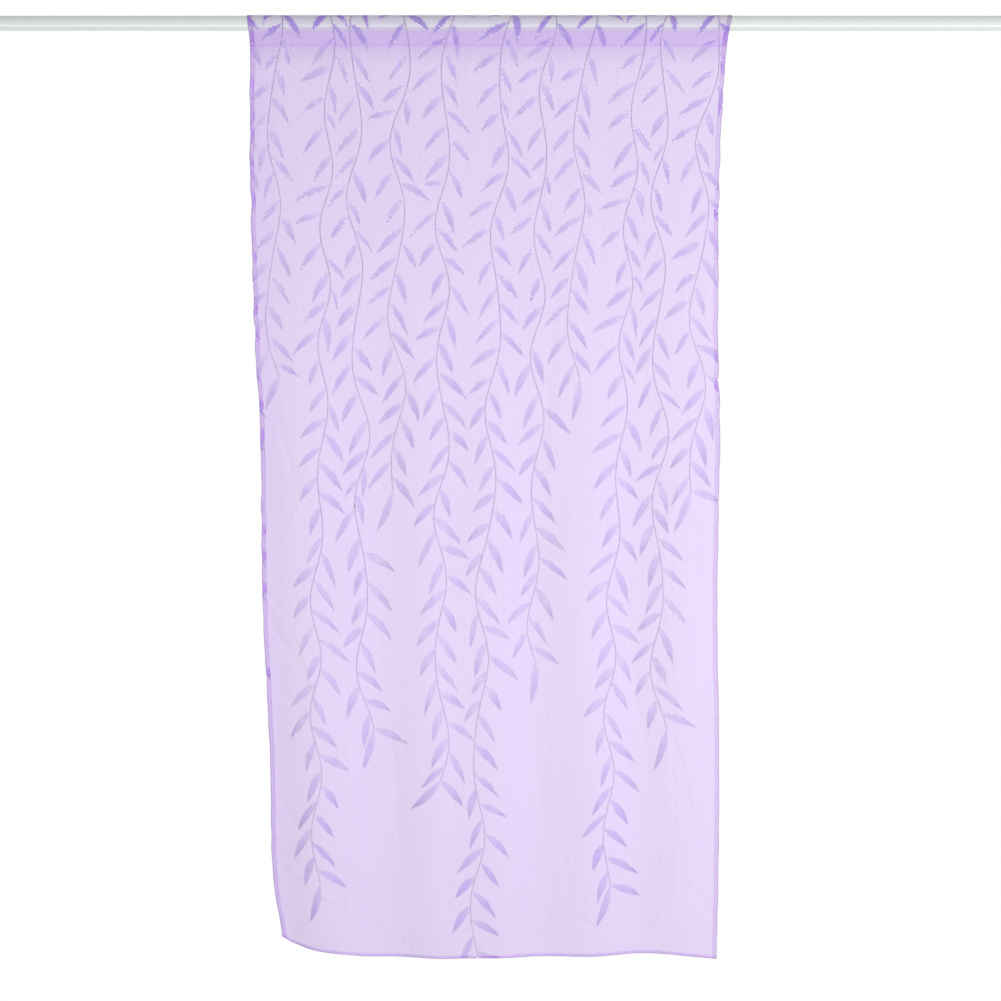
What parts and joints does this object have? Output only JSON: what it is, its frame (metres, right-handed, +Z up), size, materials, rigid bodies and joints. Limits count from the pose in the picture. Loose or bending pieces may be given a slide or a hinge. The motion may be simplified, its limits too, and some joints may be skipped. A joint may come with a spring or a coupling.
{
  "type": "rod pocket sheer curtain on a rod",
  "caption": "Sheer voile curtain panel with a sewn rod pocket and narrow turned hems, hanging from a plain round rod with capped ends.",
  "frame": {"origin": "middle of the flat end face of the rod's left cap, on the rod's axis", "axes": "+X along the rod towards its right end, -Y towards the room and the viewer, +Z up"},
  "size_m": [2.3, 0.0372, 2.0006],
  "materials": {
    "voile": "sheer polyester voile in pale lilac with a burnt-out look of hanging willow stems in a deeper lilac",
    "rod_lacquer": "glossy pale grey-white lacquer",
    "cap_plastic": "smooth pale grey-white plastic"
  },
  "bodies": {
    "root": {"curtain_panel": "voile", "rod_tube": "rod_lacquer", "rod_cap_left": "cap_plastic", "rod_cap_right": "cap_plastic"}
  },
  "joints": []
}
